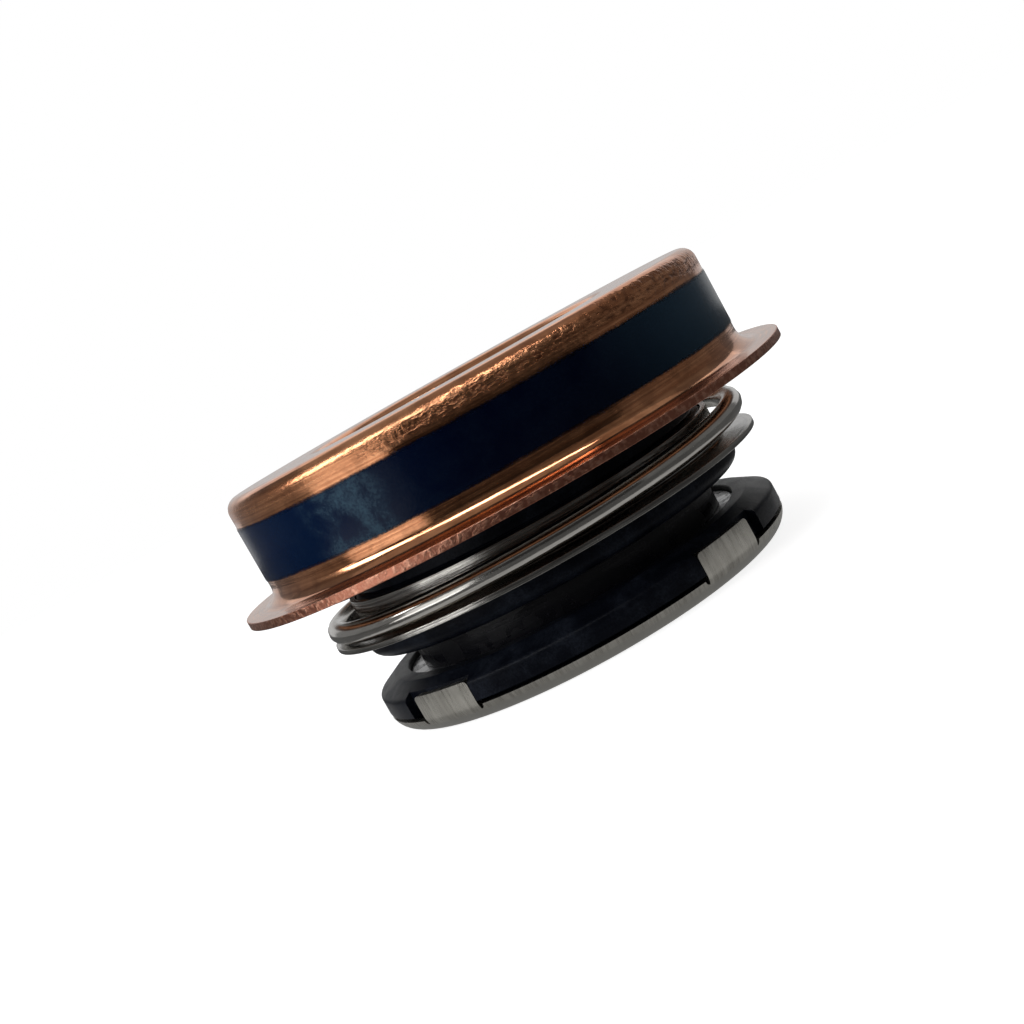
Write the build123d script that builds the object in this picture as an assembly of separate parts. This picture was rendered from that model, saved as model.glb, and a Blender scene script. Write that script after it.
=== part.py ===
from build123d import *
from math import cos, hypot, pi, sin
import os

# A face seal for a water pump, made up as one cartridge: a drawn case pressed into the pump
# housing holds a sprung carbon ring against a hard mating ring, which turns with the shaft
# on a flanged sleeve. Millimetres. Z runs along the shaft and points to the case's closed end.
# Z = 0 is the underside of the sleeve's drive plate.
# Angles about Z are counted from the front, which faces -Y, towards +X.

# Sleeve: one piece of bent sheet, which is a tube with a lip, a drive plate and four tabs
shaft_radius = 8.0
sleeve_gauge = 0.6
sleeve_bend = 1.0
plate_corner = 1.5
rim_height = 1.17
tab_height = 2.93
tab_width = 5.32
tab_angle = 42.0
tab_corner = 0.3
nick_radius = 0.32

# Seat cup: the rubber boot that carries the mating ring
seat_web = 0.6
seat_lip_wall = 0.9
seat_lip_height = 1.5
seat_wall = 2.66
seat_crown = 0.35
seat_crease_drop = 0.75
seat_crown_slope = 1.5
seat_round = 0.35
rim_gap = 0.25
notch_gap = 1.4

# Mating ring and carbon ring
mating_width = 3.3
mating_height = 2.0
mating_chamfer = 0.25
nose_length = 2.2
nose_width = 2.05
face_relief_width = 0.7
face_relief_depth = 0.4
carbon_shoulder = 0.55
carbon_grip_length = 3.45
carbon_chamfer = 0.3
carbon_shaft_gap = 1.0

# Bellows: a moulded rubber sleeve that grips the carbon ring and is clamped in the case
grip_wall = 1.36
bead_height = 1.6
bead_step = 0.39
bead_round = 0.8
cap_height = 0.85
cap_overlap = 1.8
bellows_wall = 0.9
bellows_neck_inset = 0.6
bellows_crest = 1.25
bellows_fold_height = 3.2
bellows_fold_start = 1.6
bellows_top_inset = 1.25
bellows_bend = 0.7
bellows_flange = 1.15

# Spring collar: thin bent sheet between the bellows' bead and the spring
collar_gauge = 0.38
collar_tube = 2.3
collar_bend = 0.3
collar_inset = 0.05

# Spring: a right-hand coil of round wire with closed ends
wire = 1.5
spring_length = 10.17
spring_collar_gap = 0.91
dead_turns = 0.15
ramp_turns = 0.9
open_turns = 1.3
spring_start_angle = -200.0
arcs_per_turn = 16
arc_share = 0.9

# Clamp ring: a bent sheet channel that holds the bellows' flange and seats the spring
clamp_gauge = 0.45
clamp_bend = 0.3
clamp_guide_gap = 0.65
clamp_guide = 1.1
clamp_rim = 1.8

# Shell: the drawn case, from its mounting flange to the hub tube inside
shell_gauge = 0.6
spring_room = 1.15
case_depth = 7.69
flange_width = 2.55
flange_bend = 1.2
top_bend = 1.0
hub_room = 2.3
hub_depth = 3.4
hub_lip_gap = 0.55
hub_bend = 0.4
sleeve_lip_gap = 0.6
lacquer = 0.05
band_offset = 1.67
band_width = 4.15

# Clearances
rubber_gap = 0.05
seat_gap = 0.02
fit_gap = 0.02

# Radii, from the shaft outwards
sleeve_outer = shaft_radius + sleeve_gauge
mating_bore = sleeve_outer + seat_lip_wall
mating_outer = mating_bore + mating_width
seat_outer = mating_outer + seat_wall
tab_inner = seat_outer - sleeve_gauge
carbon_bore = sleeve_outer + carbon_shaft_gap
nose_outer = carbon_bore + nose_width
carbon_outer = nose_outer + carbon_shoulder
grip_inner = carbon_outer + rubber_gap
grip_outer = grip_inner + grip_wall
collar_inner = grip_outer + rubber_gap
collar_outer = collar_inner + collar_gauge
coil_inner = collar_outer + spring_collar_gap
coil_mean = coil_inner + wire / 2
coil_outer = coil_inner + wire
shell_inner = coil_outer + spring_room
shell_outer = shell_inner + shell_gauge
flange_radius = shell_outer + flange_width
hub_bore = sleeve_outer + hub_room
hub_outer = hub_bore + shell_gauge

# Heights, from the drive plate up
seat_floor = sleeve_gauge + seat_web
seal_face = seat_floor + mating_height
skirt_bottom = seal_face + nose_length
collar_bottom = skirt_bottom + bead_height + seat_gap
collar_seat = collar_bottom + collar_gauge
collar_top = collar_seat + collar_tube
carbon_top = skirt_bottom + rubber_gap + carbon_grip_length
cap_bottom = carbon_top + rubber_gap
cap_top = cap_bottom + cap_height
clamp_seat = collar_seat + spring_length
clamp_top = clamp_seat + clamp_gauge
case_top = clamp_top + bellows_flange + shell_gauge
flange_top = case_top - case_depth
hub_floor = case_top - hub_depth

tab_angles = [-tab_angle, tab_angle, 180 - tab_angle, 180 + tab_angle]


def degrees_of_arc(length, radius):
    """The angle that an arc of this length takes up at a radius."""
    return length / radius * 180 / pi


def turned(corners):
    """A ring turned about Z from its section's corners, each a radius, a height and a rounding."""
    points = [(radius, height) for radius, height, _ in corners]
    outline = FilletPolyline(*points, radius=[rounding for _, _, rounding in corners], close=True)
    return revolve(Plane.XZ * make_face(outline), Axis.Z)


def bent_sheet(corners, gauge):
    """A ring of bent sheet turned about Z.

    The corners run along one face, each a radius, a height and that face's own bend radius.
    The sheet's other face lies to the left of that line.
    """
    count = len(corners)
    ways = []
    for start, end in zip(corners, corners[1:]):
        run = hypot(end[0] - start[0], end[1] - start[1])
        ways.append(((end[0] - start[0]) / run, (end[1] - start[1]) / run))
    far_side = []
    for index, (radius, height, bend) in enumerate(corners):
        before = ways[max(index - 1, 0)]
        after = ways[min(index, count - 2)]
        across = 1 + before[0] * after[0] + before[1] * after[1]
        turn = before[0] * after[1] - before[1] * after[0]
        far_bend = bend - gauge if turn > 0 else bend + gauge
        far_side.append(
            (
                radius - gauge * (before[1] + after[1]) / across,
                height + gauge * (before[0] + after[0]) / across,
                max(far_bend, 0) if bend else 0,
            )
        )
    return turned(corners + far_side[::-1])


def sector(inner, outer, bottom, top, start, sweep_angle):
    """A block bent round Z, from a start angle on over a sweep of degrees."""
    corners = [(inner, bottom), (outer, bottom), (outer, top), (inner, top)]
    section = Plane.XZ * make_face(Polyline(*corners, close=True))
    return Rot(0, 0, start - 90) * revolve(section, Axis.Z, revolution_arc=sweep_angle)


def make_shell():
    """The drawn case: mounting flange, cylinder, closed end and hub tube with its stop lip."""
    corners = [
        (flange_radius, flange_top, 0),
        (shell_outer, flange_top, flange_bend),
        (shell_outer, case_top, top_bend),
        (hub_bore, case_top, top_bend),
        (hub_bore, hub_floor, hub_bend),
        (sleeve_outer + hub_lip_gap, hub_floor, 0),
    ]
    return bent_sheet(corners, shell_gauge)


def make_sealant_band():
    """The band of sealing lacquer round the case's cylinder."""
    bottom = flange_top + band_offset
    corners = [
        (shell_outer, bottom, 0),
        (shell_outer + lacquer, bottom, 0),
        (shell_outer + lacquer, bottom + band_width, 0),
        (shell_outer, bottom + band_width, 0),
    ]
    return turned(corners)


def make_clamp_ring():
    """The channel ring: guide inside the coil, spring seat, and rim pressed in the case."""
    guide = coil_inner - clamp_guide_gap
    rim = shell_inner - fit_gap - clamp_gauge
    corners = [
        (guide, clamp_seat - clamp_guide, 0),
        (guide, clamp_seat, clamp_bend),
        (rim, clamp_seat, clamp_bend),
        (rim, clamp_seat - clamp_rim, 0),
    ]
    return bent_sheet(corners, clamp_gauge)


def coil_rise(turn, slope):
    """How far the wire has climbed after a number of turns: flat, easing in, then steady."""
    climbing = min(max(turn - dead_turns, 0), ramp_turns)
    steady = max(turn - dead_turns - ramp_turns, 0)
    return slope * climbing**2 / (2 * ramp_turns) + slope * steady


def make_spring():
    """The coil of round wire, closed at both ends and open in the middle, as tangent arcs."""
    turns = 2 * dead_turns + 2 * ramp_turns + open_turns
    bottom = collar_seat + seat_gap + wire / 2
    top = clamp_seat - seat_gap - wire / 2
    slope = (top - bottom) / (ramp_turns + open_turns)
    steps = round(turns * arcs_per_turn)
    half_arc = pi * turns / steps
    corner_radius = coil_mean / cos(half_arc)
    route = []
    for step in range(steps + 1):
        turn = turns * step / steps
        if turn < turns / 2:
            height = bottom + coil_rise(turn, slope)
        else:
            height = top - coil_rise(turns - turn, slope)
        angle = (spring_start_angle / 360 + turn) * 2 * pi
        route.append((corner_radius * sin(angle), -corner_radius * cos(angle), height))
    line = FilletPolyline(*route, radius=arc_share * coil_mean)
    section = Plane(origin=line @ 0, z_dir=line % 0) * Circle(wire / 2)
    return sweep(section, path=line)


def make_spring_collar():
    """The collar: a tube round the bellows' grip, with a flange under the coil."""
    corners = [
        (coil_outer - collar_inset, collar_seat, 0),
        (collar_outer, collar_seat, collar_bend),
        (collar_outer, collar_top, 0),
    ]
    return bent_sheet(corners, collar_gauge)


def make_bellows():
    """The moulded bellows: grip with its bead, one rolled fold, and the clamped top flange."""
    flange_bottom = clamp_top + seat_gap
    flange_top_face = case_top - shell_gauge - seat_gap
    inner_corner = max(top_bend - shell_gauge, 0) + rubber_gap
    grip = turned(
        [
            (grip_inner, skirt_bottom, 0),
            (collar_outer + bead_step, skirt_bottom, bead_round),
            (collar_outer + bead_step, collar_bottom - seat_gap, 0),
            (grip_outer, collar_bottom - seat_gap, 0),
            (grip_outer, cap_top, cap_height / 2),
            (grip_inner - cap_overlap, cap_top, cap_height / 3),
            (grip_inner - cap_overlap, cap_bottom, 0),
            (grip_inner, cap_bottom, 0),
        ]
    )
    neck = grip_outer - bellows_neck_inset
    crest = neck + bellows_crest
    top_neck = hub_outer + bellows_top_inset
    fold_start = cap_top + bellows_fold_start
    fold_end = fold_start + bellows_fold_height
    wall = bent_sheet(
        [
            (neck, cap_top - cap_height / 2, 0),
            (neck, fold_start, bellows_bend),
            (crest, (fold_start + fold_end) / 2, bellows_bend + bellows_wall),
            (top_neck, fold_end, bellows_bend),
            (top_neck, flange_bottom + bellows_flange / 2, 0),
        ],
        bellows_wall,
    )
    flange = turned(
        [
            (hub_outer + rubber_gap, flange_bottom, 0),
            (shell_inner - rubber_gap, flange_bottom, 0),
            (shell_inner - rubber_gap, flange_top_face, inner_corner),
            (hub_outer + rubber_gap, flange_top_face, inner_corner),
        ]
    )
    return grip + wall + flange


def make_carbon_ring():
    """The carbon ring: a narrow running face on a nose, and a body held by the bellows."""
    shoulder = skirt_bottom + rubber_gap
    corners = [
        (carbon_bore + face_relief_width, seal_face, 0),
        (nose_outer, seal_face, 0),
        (nose_outer, shoulder, 0),
        (carbon_outer, shoulder, 0),
        (carbon_outer, carbon_top - carbon_chamfer, 0),
        (carbon_outer - carbon_chamfer, carbon_top, 0),
        (carbon_bore, carbon_top, 0),
        (carbon_bore, seal_face + face_relief_depth, 0),
        (carbon_bore + face_relief_width, seal_face + face_relief_depth, 0),
    ]
    return turned(corners)


def make_mating_ring():
    """The hard flat ring that the carbon runs on, with small chamfers at its corners."""
    inner = mating_bore
    outer = mating_outer
    bottom = seat_floor + seat_gap
    cut = mating_chamfer
    corners = [
        (inner + cut, bottom, 0),
        (outer - cut, bottom, 0),
        (outer, bottom + cut, 0),
        (outer, seal_face - cut, 0),
        (outer - cut, seal_face, 0),
        (inner + cut, seal_face, 0),
        (inner, seal_face - cut, 0),
        (inner, bottom + cut, 0),
    ]
    return turned(corners)


def make_seat_cup():
    """The rubber boot round the mating ring, with a notch for each drive tab."""
    crown = seal_face + seat_crown
    crease = crown - seat_crease_drop
    inside_rim = tab_inner - seat_gap
    rim_taper = max(plate_corner - sleeve_gauge, 0) + 2 * rubber_gap
    lip_corner = max(sleeve_bend - sleeve_gauge, 0) + 2 * rubber_gap
    boot = turned(
        [
            (sleeve_outer + fit_gap, sleeve_gauge + seat_gap, lip_corner),
            (inside_rim - rim_taper, sleeve_gauge + seat_gap, 0),
            (inside_rim, rim_height + rim_gap, 0),
            (seat_outer, rim_height + rim_gap, 0),
            (seat_outer, crease, seat_round),
            (seat_outer - seat_crown_slope, crown, seat_round),
            (mating_outer + fit_gap, crown, 0),
            (mating_outer + fit_gap, seat_floor, 0),
            (mating_bore - fit_gap, seat_floor, 0),
            (mating_bore - fit_gap, seat_floor + seat_lip_height, 0),
            (sleeve_outer + fit_gap, seat_floor + seat_lip_height, 0),
        ]
    )
    snug = degrees_of_arc(rubber_gap, seat_outer)
    tab_sweep = degrees_of_arc(tab_width, seat_outer)
    open_side = degrees_of_arc(notch_gap, seat_outer)
    for index, angle in enumerate(tab_angles):
        before = open_side if index % 2 == 0 else snug
        notch_sweep = tab_sweep + snug + open_side
        start = angle - tab_sweep / 2 - before
        boot -= sector(inside_rim, seat_outer + 1, 0, crown, start, notch_sweep)
    return boot


def make_sleeve():
    """The sleeve: rolled lip, tube, drive plate, low rim and four tabs, all from one sheet."""
    lip_radius = hub_bore - sleeve_lip_gap
    lip_top = hub_floor + seat_gap + sleeve_gauge
    sleeve = bent_sheet(
        [
            (lip_radius, lip_top, 0),
            (shaft_radius, lip_top, sleeve_bend),
            (shaft_radius, 0, sleeve_bend),
            (seat_outer, 0, plate_corner),
            (seat_outer, tab_height, 0),
        ],
        sleeve_gauge,
    )
    tab_sweep = degrees_of_arc(tab_width, seat_outer)
    for angle, following in zip(tab_angles, tab_angles[1:] + [tab_angles[0] + 360]):
        start = angle + tab_sweep / 2
        gap = following - angle - tab_sweep
        sleeve -= sector(tab_inner - 1, seat_outer + 1, rim_height, tab_height + 1, start, gap)
        for root in (start, start + gap):
            nick = Pos(0, -seat_outer, rim_height) * Rot(90, 0, 0) * Cylinder(nick_radius, 3)
            sleeve -= Rot(0, 0, root) * nick
    corners = [edge for edge in sleeve.edges().filter_by(GeomType.LINE) if is_tab_corner(edge)]
    return fillet(corners, tab_corner)


def is_tab_corner(edge):
    """True for the short radial edges at the top corners of the tabs."""
    level = all(abs(vertex.Z - tab_height) < 0.001 for vertex in edge.vertices())
    return level and edge.length < 2 * sleeve_gauge


makers = {
    "shell": make_shell,
    "sealant_band": make_sealant_band,
    "clamp_ring": make_clamp_ring,
    "bellows": make_bellows,
    "spring": make_spring,
    "spring_collar": make_spring_collar,
    "carbon_ring": make_carbon_ring,
    "mating_ring": make_mating_ring,
    "seat_cup": make_seat_cup,
    "sleeve": make_sleeve,
}

os.makedirs("parts", exist_ok=True)
for name, make in makers.items():
    export_step(make(), f"parts/{name}.step")
print("case top", round(case_top, 3), "flange", round(flange_radius, 3))
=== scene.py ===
"""Finished pieces, camera and light for a water pump face seal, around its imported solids.

Lengths in the classes are millimetres and become metres where a mesh is made. Z runs along the
shaft, and the drive plate stands at Z = 0. Angles about Z are counted in degrees from the front,
which faces -Y, towards +X.
"""

import logging
import math
from dataclasses import dataclass, field
from enum import Enum
from typing import Callable

import bmesh
import bpy
from bpy.types import Material, Node, NodeSocket, NodeTree, Object
from mathutils import Matrix, Vector


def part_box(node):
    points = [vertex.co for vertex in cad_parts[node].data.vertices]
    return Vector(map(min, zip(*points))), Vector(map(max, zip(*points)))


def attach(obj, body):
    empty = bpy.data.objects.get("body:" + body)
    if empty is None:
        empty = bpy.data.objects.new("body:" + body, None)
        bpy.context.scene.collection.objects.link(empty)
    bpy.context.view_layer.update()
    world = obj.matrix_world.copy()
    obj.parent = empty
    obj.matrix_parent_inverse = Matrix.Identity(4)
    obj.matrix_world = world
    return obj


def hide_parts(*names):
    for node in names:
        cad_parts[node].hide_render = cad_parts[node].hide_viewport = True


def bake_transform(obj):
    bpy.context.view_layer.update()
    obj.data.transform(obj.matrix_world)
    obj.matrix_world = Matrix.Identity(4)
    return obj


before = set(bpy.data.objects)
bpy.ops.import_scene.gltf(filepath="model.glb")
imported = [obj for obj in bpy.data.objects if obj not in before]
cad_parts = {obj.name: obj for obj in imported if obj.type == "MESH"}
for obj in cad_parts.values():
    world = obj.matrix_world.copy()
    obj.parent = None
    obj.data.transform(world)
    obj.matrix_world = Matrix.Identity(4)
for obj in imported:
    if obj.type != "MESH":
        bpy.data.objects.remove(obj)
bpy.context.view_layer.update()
MM = 0.001
MERGE = 1e-7
LOG = logging.getLogger("water_pump_seal")

# A Point is a radius and a height in millimetres; a Spot is x, y and z in metres.
Point = tuple[float, float]
Spot = tuple[float, float, float]
Colour = tuple[float, float, float]
Ports = dict[str, NodeSocket]


class Body(Enum):
    """The rigid bodies that pieces ride on."""

    CASE = "case"
    HEAD = "head"
    ROTOR = "rotor"


class Slot(Enum):
    """The record's material slots."""

    CASE = "copper_case"
    LACQUER = "blue_lacquer"
    SHEET = "stainless_sheet"
    BELLOWS = "bellows_rubber"
    WIRE = "spring_wire"
    CARBON = "carbon"
    CERAMIC = "hard_ceramic"
    SEAT = "seat_rubber"
    SLEEVE = "sleeve_steel"


class Shade(Enum):
    """How the faces of a mesh meet: the angle in degrees past which an edge stays sharp."""

    SHEET = 32.0
    MOULDED = 55.0


# Sections


@dataclass(frozen=True)
class Corner:
    """A corner of a section: radius, height and how round it is."""

    radius: float
    height: float
    bend: float = 0.0


def arc_points(before: Corner, at: Corner, after: Corner, steps: int) -> list[Point]:
    """Rounds one corner of a section.

    Args:
        before: The corner that comes before it.
        at: The corner to round.
        after: The corner that follows.
        steps: How many chords the arc gets.

    Returns:
        The corner itself if it is sharp, or the points of its arc.
    """
    corner = Vector((at.radius, at.height))
    way_in = (corner - Vector((before.radius, before.height))).normalized()
    way_out = (Vector((after.radius, after.height)) - corner).normalized()
    half_turn = way_in.angle(way_out, 0.0) / 2
    if at.bend <= 0 or half_turn < 1e-4:
        return [(at.radius, at.height)]
    inward = (way_out - way_in).normalized()
    centre = corner + inward * at.bend / math.cos(half_turn)
    start = corner - way_in * at.bend * math.tan(half_turn) - centre
    end = corner + way_out * at.bend * math.tan(half_turn) - centre
    points = []
    for step in range(steps + 1):
        share = step / steps
        swing = math.sin(2 * half_turn * (1 - share)), math.sin(2 * half_turn * share)
        spoke = (start * swing[0] + end * swing[1]) / math.sin(2 * half_turn)
        points.append((centre.x + spoke.x, centre.y + spoke.y))
    return points


def outline(corners: list[Corner], steps: int = 8) -> list[Point]:
    """Turns a closed section's corners into points.

    Args:
        corners: The corners in order.
        steps: How many chords each rounded corner gets.

    Returns:
        The section's points, without a repeat of the first.
    """
    points: list[Point] = []
    for index, corner in enumerate(corners):
        following = corners[(index + 1) % len(corners)]
        points.extend(arc_points(corners[index - 1], corner, following, steps))
    return points


def sheet(corners: list[Corner], gauge: float, edge: float = 0.06) -> list[Corner]:
    """Gives a line of corners the thickness of a sheet, which lies to the left of the line.

    Args:
        corners: The corners along one face, from end to end.
        gauge: The sheet's thickness.
        edge: The rounding of its cut edges.

    Returns:
        The corners of the closed section.
    """
    ways = []
    for start, end in zip(corners, corners[1:]):
        step = Vector((end.radius - start.radius, end.height - start.height))
        ways.append(step.normalized())
    near, far = [], []
    for index, corner in enumerate(corners):
        before = ways[max(index - 1, 0)]
        after = ways[min(index, len(ways) - 1)]
        across = 1 + before.dot(after)
        turn = before.x * after.y - before.y * after.x
        ends = index in (0, len(corners) - 1)
        far_bend = corner.bend - gauge if turn > 0 else corner.bend + gauge
        radius = corner.radius - gauge * (before.y + after.y) / across
        height = corner.height + gauge * (before.x + after.x) / across
        near.append(Corner(corner.radius, corner.height, edge if ends else corner.bend))
        far.append(Corner(radius, height, edge if ends else max(far_bend, 0.02)))
    return near + far[::-1]


# Meshes


def even_angles(count: int) -> list[float]:
    """Angles evenly spaced round the axis, in degrees."""
    return [360 * index / count for index in range(count)]


def spot(angle: float, radius: float, height: float) -> Spot:
    """A point in metres, from its angle in degrees and its radius and height in millimetres."""
    turn = math.radians(angle)
    return radius * math.sin(turn) * MM, -radius * math.cos(turn) * MM, height * MM


def quads(columns: int, rows: int, closed: bool) -> list[tuple[int, int, int, int]]:
    """Joins columns of points, numbered one column after another, by four-sided faces.

    Args:
        columns: How many columns there are.
        rows: How many points each column has.
        closed: Whether the last column meets the first, and the ends of each column meet.

    Returns:
        The numbers of each face's points.
    """
    gaps = 0 if closed else 1
    faces = []
    for column in range(columns - gaps):
        here, after = column * rows, (column + 1) % columns * rows
        for row in range(rows - gaps):
            above = (row + 1) % rows
            faces.append((here + row, after + row, after + above, here + above))
    return faces


def placed(name: str, data: bpy.types.ID) -> Object:
    """Makes an object of a mesh, lamp or camera and links it to the scene.

    Args:
        name: Its name.
        data: The mesh, lamp or camera.

    Returns:
        The object.
    """
    thing = bpy.data.objects.new(name, data)
    bpy.context.scene.collection.objects.link(thing)
    return thing


def new_mesh(name: str, points: list[Spot], faces: list[tuple[int, ...]]) -> bpy.types.Mesh:
    """Makes a mesh of points in metres and faces of their numbers.

    Args:
        name: Its name.
        points: The points, in metres.
        faces: The numbers of each face's points.

    Returns:
        The mesh.
    """
    mesh = bpy.data.meshes.new(name)
    mesh.from_pydata(points, [], faces)
    return mesh


def ring(
    name: str, section_at: Callable[[float], list[Point]], angles: list[float], shade: Shade
) -> Object:
    """Makes a closed ring from one section at each angle.

    Args:
        name: The piece's name.
        section_at: Gives the section's points at an angle, always as many.
        angles: The angles in rising order, in degrees.
        shade: Which edges stay sharp.

    Returns:
        The piece, with its place in its mesh.
    """
    points = [spot(angle, *point) for angle in angles for point in section_at(angle)]
    faces = quads(len(angles), len(points) // len(angles), closed=True)
    return finished_object(name, new_mesh(name, points, faces), shade)


def finished_object(name: str, mesh: bpy.types.Mesh, shade: Shade) -> Object:
    """Merges doubled points, turns all faces outwards, shades the mesh and makes its object.

    Args:
        name: The piece's name.
        mesh: The mesh, in metres.
        shade: Which edges stay sharp.

    Returns:
        The object, linked to the scene.
    """
    work = bmesh.new()
    work.from_mesh(mesh)
    bmesh.ops.remove_doubles(work, verts=work.verts, dist=MERGE)
    bmesh.ops.dissolve_degenerate(work, edges=work.edges, dist=MERGE)
    bmesh.ops.recalc_face_normals(work, faces=work.faces)
    work.to_mesh(mesh)
    work.free()
    mesh.shade_smooth()
    mesh.set_sharp_from_angle(angle=math.radians(shade.value))
    return placed(name, mesh)


def lathe(
    name: str, corners: list[Corner], shade: Shade, segments: int = 256, steps: int = 8
) -> Object:
    """Turns one section all the way round.

    Args:
        name: The piece's name.
        corners: The section's corners.
        shade: Which edges stay sharp.
        segments: How many flats the ring has.
        steps: How many chords each rounded corner gets.

    Returns:
        The piece.
    """
    points = outline(corners, steps)
    return ring(name, lambda angle: points, even_angles(segments), shade)


def dress(
    piece: Object,
    material: Material,
    nodes: list[str],
    body: Body | None,
) -> None:
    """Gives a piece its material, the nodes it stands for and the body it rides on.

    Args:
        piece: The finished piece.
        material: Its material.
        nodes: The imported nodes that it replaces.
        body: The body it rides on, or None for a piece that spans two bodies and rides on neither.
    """
    piece.data.materials.clear()
    piece.data.materials.append(material)
    if nodes:
        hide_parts(*nodes)
    if body is not None:
        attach(piece, body.value)
    LOG.info("%s: %d faces", piece.name, len(piece.data.polygons))


# Node trees


class Tree:
    """A short way to add and link nodes."""

    def __init__(self, tree: NodeTree) -> None:
        """Takes the tree to build in."""
        self.tree = tree

    def add(self, kind: str, inputs: dict | None = None, **settings: object) -> Node:
        """Adds one node.

        Args:
            kind: The node's type name.
            inputs: Values or sockets by the input's name or number.
            settings: The node's own properties.

        Returns:
            The node.
        """
        node = self.tree.nodes.new(kind)
        for key, value in settings.items():
            setattr(node, key, value)
        for key, value in (inputs or {}).items():
            self.feed(node.inputs[key], value)
        return node

    def feed(self, socket: NodeSocket, value: object) -> None:
        """Links a socket, or sets its value.

        Args:
            socket: The socket to feed.
            value: A socket to link, or a value to set.
        """
        if isinstance(value, NodeSocket):
            self.tree.links.new(value, socket)
        else:
            socket.default_value = value

    def math(self, operation: str, *values: object) -> NodeSocket:
        """Adds a Math node and returns its result."""
        inputs = dict(enumerate(values))
        return self.add("ShaderNodeMath", inputs, operation=operation).outputs[0]

    def times(self, value: object, factor: object) -> NodeSocket:
        """Multiplies two values."""
        return self.math("MULTIPLY", value, factor)

    def line(self, value: object, slope: object, start: object) -> NodeSocket:
        """Multiplies a value by a slope and adds a start."""
        return self.math("MULTIPLY_ADD", value, slope, start)

    def step(self, value: object, low: object, high: object) -> NodeSocket:
        """Takes a value smoothly from 0 to 1 between a low and a high."""
        inputs = {"Value": value, "From Min": low, "From Max": high}
        return self.add("ShaderNodeMapRange", inputs, interpolation_type="SMOOTHSTEP").outputs[0]

    def mix(self, mask: object, low: object, high: object) -> NodeSocket:
        """Mixes two colours by a mask and returns the colour.

        Args:
            mask: How much of the second colour shows.
            low: The first colour.
            high: The second colour.

        Returns:
            The mixed colour.
        """
        node = self.tree.nodes.new("ShaderNodeMix")
        node.data_type = "RGBA"
        self.feed(node.inputs[0], mask)
        self.feed(node.inputs[6], (*low, 1) if isinstance(low, tuple) else low)
        self.feed(node.inputs[7], (*high, 1) if isinstance(high, tuple) else high)
        return node.outputs[2]

    def spread(self, value: object, low: object, high: object) -> NodeSocket:
        """Takes a value from 0 to 1 to a range and returns the result."""
        inputs = {"Value": value, "To Min": low, "To Max": high}
        return self.add("ShaderNodeMapRange", inputs).outputs[0]

    def group(self, effect: NodeTree, **inputs: object) -> Node:
        """Places a shared effect with its own values; an underscore stands for a space.

        Args:
            effect: The effect's tree.
            inputs: Values or sockets by the input's name.

        Returns:
            The node of the placed effect.
        """
        node = self.tree.nodes.new("ShaderNodeGroup")
        node.node_tree = effect
        for key, value in inputs.items():
            self.feed(node.inputs[key.replace("_", " ").title()], value)
        return node

    def layer(self, effect: NodeTree, **inputs: object) -> NodeSocket:
        """Places a shared effect and returns its first output."""
        return self.group(effect, **inputs).outputs[0]


def new_effect(name: str, inputs: dict[str, float], outputs: list[str]) -> tuple[Tree, Ports, Ports]:
    """Starts a shared effect with number sockets.

    Args:
        name: The effect's name.
        inputs: The inputs' names and usual values.
        outputs: The outputs' names.

    Returns:
        The tree, its inputs as sockets to read, and its outputs as sockets to feed.
    """
    effect = bpy.data.node_groups.new(name, "ShaderNodeTree")
    for label, value in inputs.items():
        socket = effect.interface.new_socket(label, in_out="INPUT", socket_type="NodeSocketFloat")
        socket.default_value = value
    for label in outputs:
        effect.interface.new_socket(label, in_out="OUTPUT", socket_type="NodeSocketFloat")
    tree = Tree(effect)
    entry = tree.add("NodeGroupInput")
    leaving = tree.add("NodeGroupOutput")
    ports = {label: entry.outputs[label] for label in inputs}
    return tree, ports, {label: leaving.inputs[label] for label in outputs}


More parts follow.
